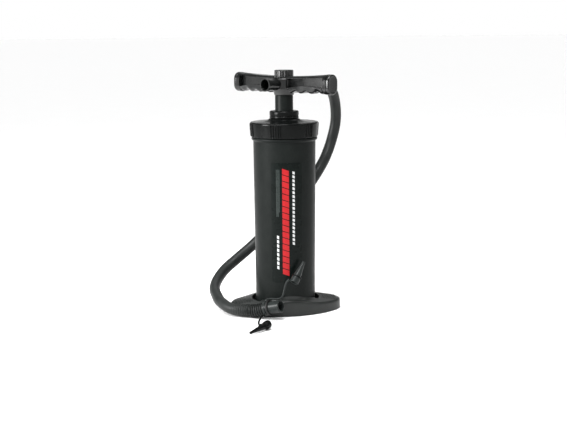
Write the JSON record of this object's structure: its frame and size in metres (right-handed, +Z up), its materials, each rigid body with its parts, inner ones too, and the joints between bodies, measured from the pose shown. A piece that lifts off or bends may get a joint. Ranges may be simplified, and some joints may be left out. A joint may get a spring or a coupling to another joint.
{
  "type": "double action hand pump",
  "caption": "Floor-standing double-action air pump: flared foot, ribbed screw cap, T handle with air ports, and a flexible hose ending in a connector with tethered nozzles.",
  "frame": {"origin": "on the floor, under the barrel's axis", "axes": "+Z up the barrel; X along the long way of the foot; -Y towards the label"},
  "size_m": [0.2247, 0.2713, 0.37],
  "materials": {
    "barrel_plastic": "fine-grained satin",
    "black_plastic": "semi-gloss, moulded",
    "grey_plastic": "semi-gloss, moulded",
    "hose_plastic": "satin, soft PVC",
    "inner_plastic": "plain moulded",
    "black_rubber": "matt",
    "screw_steel": "zinc plated",
    "label_film": "printed film"
  },
  "bodies": {
    "barrel": {"barrel": "barrel_plastic", "foot": "barrel_plastic", "foot_screw_1": "screw_steel", "foot_screw_2": "screw_steel", "foot_screw_3": "screw_steel", "foot_screw_4": "screw_steel", "label_panel": "label_film", "lower_buffer": "black_rubber", "cap": "black_plastic", "cap_seal": "black_rubber", "upper_buffer": "black_rubber", "shaft_bush": "inner_plastic", "shaft_seal": "black_rubber", "collar": "black_plastic", "hose_lower": "hose_plastic", "corrugated_cuff": "hose_plastic", "strap_ring": "grey_plastic", "connector_ring": "black_rubber", "connector": "grey_plastic", "wide_nozzle": "grey_plastic", "narrow_nozzle": "black_plastic", "wide_nozzle_strap": "grey_plastic", "narrow_nozzle_strap": "black_plastic"},
    "swivel": {"shaft_wiper": "black_rubber", "hose_upper": "hose_plastic"},
    "plunger": {"shaft_tube": "black_plastic", "delivery_tube": "inner_plastic", "piston_body": "inner_plastic", "piston_cover": "inner_plastic", "piston_ring": "black_rubber", "piston_screw_1": "screw_steel", "piston_screw_2": "screw_steel", "piston_screw_3": "screw_steel", "piston_screw_4": "screw_steel", "handle": "black_plastic", "handle_end_right": "black_plastic", "handle_end_left": "black_plastic", "delivery_elbow": "inner_plastic", "elbow_seal": "black_rubber", "hose_cuff": "barrel_plastic"},
    "knob": {"knob": "black_plastic"},
    "intake_valve_upper": {"intake_valve_upper": "black_rubber"},
    "intake_valve_lower": {"intake_valve_lower": "black_rubber"},
    "delivery_valve_upper": {"delivery_valve_upper": "black_rubber"},
    "delivery_valve_lower": {"delivery_valve_lower": "black_rubber"}
  },
  "joints": [
    {"name": "handle_swivel", "type": "hinge", "parent": "barrel", "child": "swivel", "pos_m": [0, 0, 0.305], "axis": [0, 0, 1], "range_deg": [-30, 30]},
    {"name": "plunger_stroke", "type": "slide", "parent": "swivel", "child": "plunger", "axis": [0, 0, 1], "range_m": [0, 0.24], "deforming": ["hose_upper"]},
    {"name": "knob_turn", "type": "hinge", "parent": "plunger", "child": "knob", "pos_m": [0, 0, 0.358], "axis": [0, 0, 1], "range_deg": [0, 90]},
    {"name": "intake_valve_upper_lift", "type": "slide", "parent": "plunger", "child": "intake_valve_upper", "axis": [0, 0, 1], "range_m": [0, 0.0013], "stiffness_N_per_m": 20, "springref_m": -0.001},
    {"name": "intake_valve_lower_lift", "type": "slide", "parent": "plunger", "child": "intake_valve_lower", "axis": [0, 0, -1], "range_m": [0, 0.0013], "stiffness_N_per_m": 20, "springref_m": -0.001},
    {"name": "delivery_valve_upper_lift", "type": "slide", "parent": "plunger", "child": "delivery_valve_upper", "axis": [0, 0, -1], "range_m": [0, 0.0013], "stiffness_N_per_m": 20, "springref_m": -0.001},
    {"name": "delivery_valve_lower_lift", "type": "slide", "parent": "plunger", "child": "delivery_valve_lower", "axis": [0, 0, 1], "range_m": [0, 0.0013], "stiffness_N_per_m": 20, "springref_m": -0.001}
  ]
}
